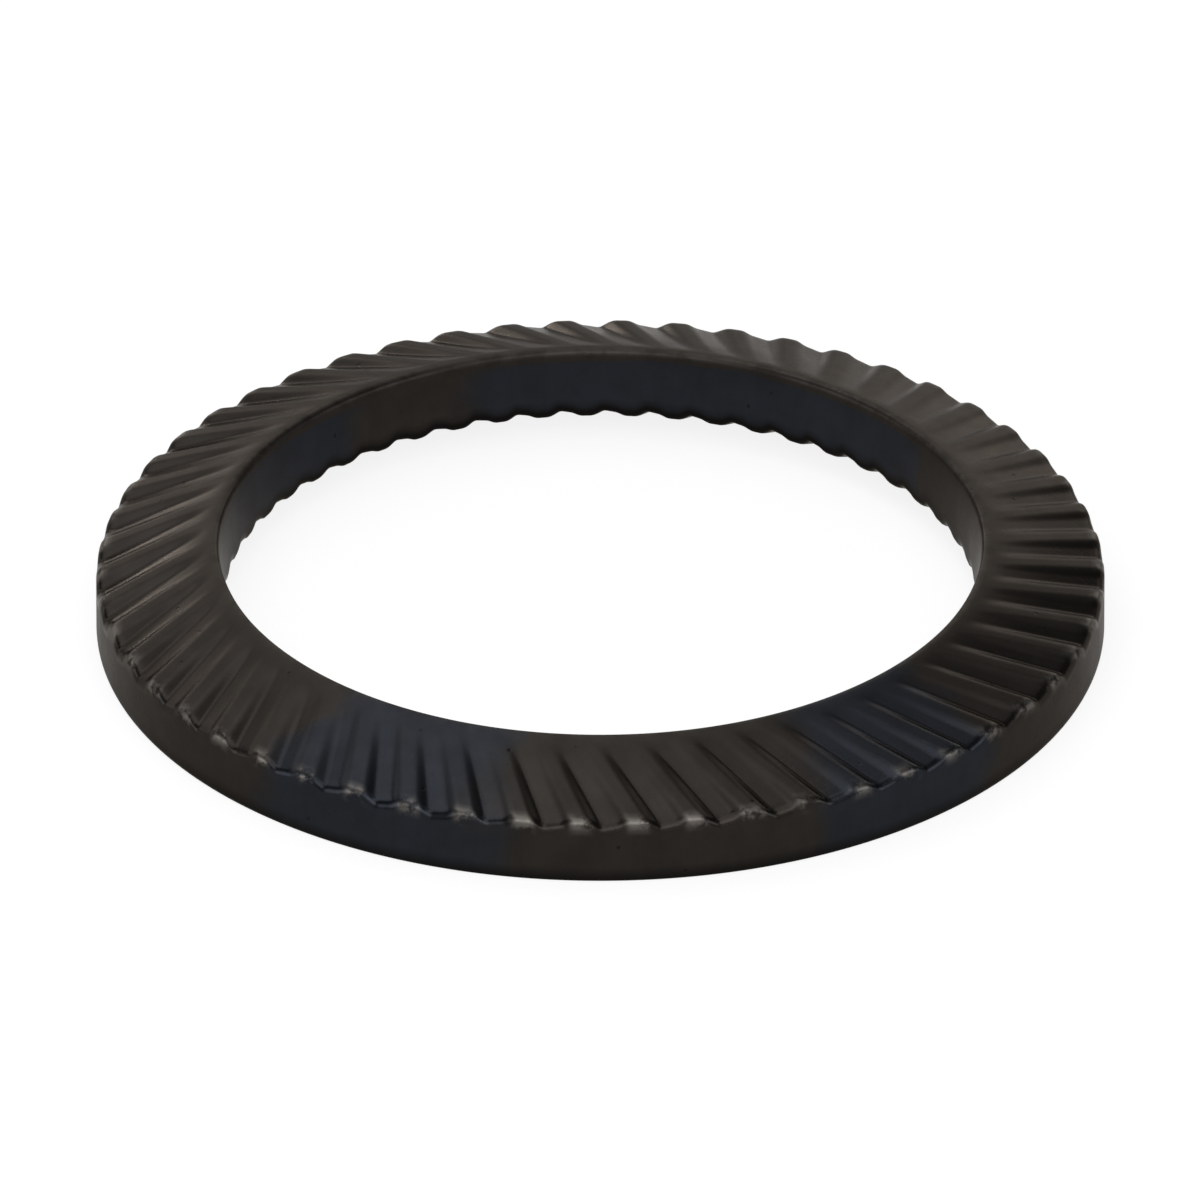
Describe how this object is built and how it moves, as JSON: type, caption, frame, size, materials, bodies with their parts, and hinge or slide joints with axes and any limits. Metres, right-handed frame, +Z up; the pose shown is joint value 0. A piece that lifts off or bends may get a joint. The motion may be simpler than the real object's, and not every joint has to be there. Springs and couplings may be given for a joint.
{
  "type": "serrated safety washer",
  "caption": "Dished spring-steel washer with skewed serrations on both faces, put under a bolt head to keep it from working loose.",
  "frame": {"origin": "centre of the circle that the washer rests on, on the bore axis", "axes": "+Z up the bore axis, from the outer edge it rests on towards the raised bore edge"},
  "size_m": [0.0176, 0.0176, 0.0018],
  "materials": {
    "black_steel": "matt black oxide on spring steel"
  },
  "bodies": {
    "root": {"washer": "black_steel"}
  },
  "joints": []
}
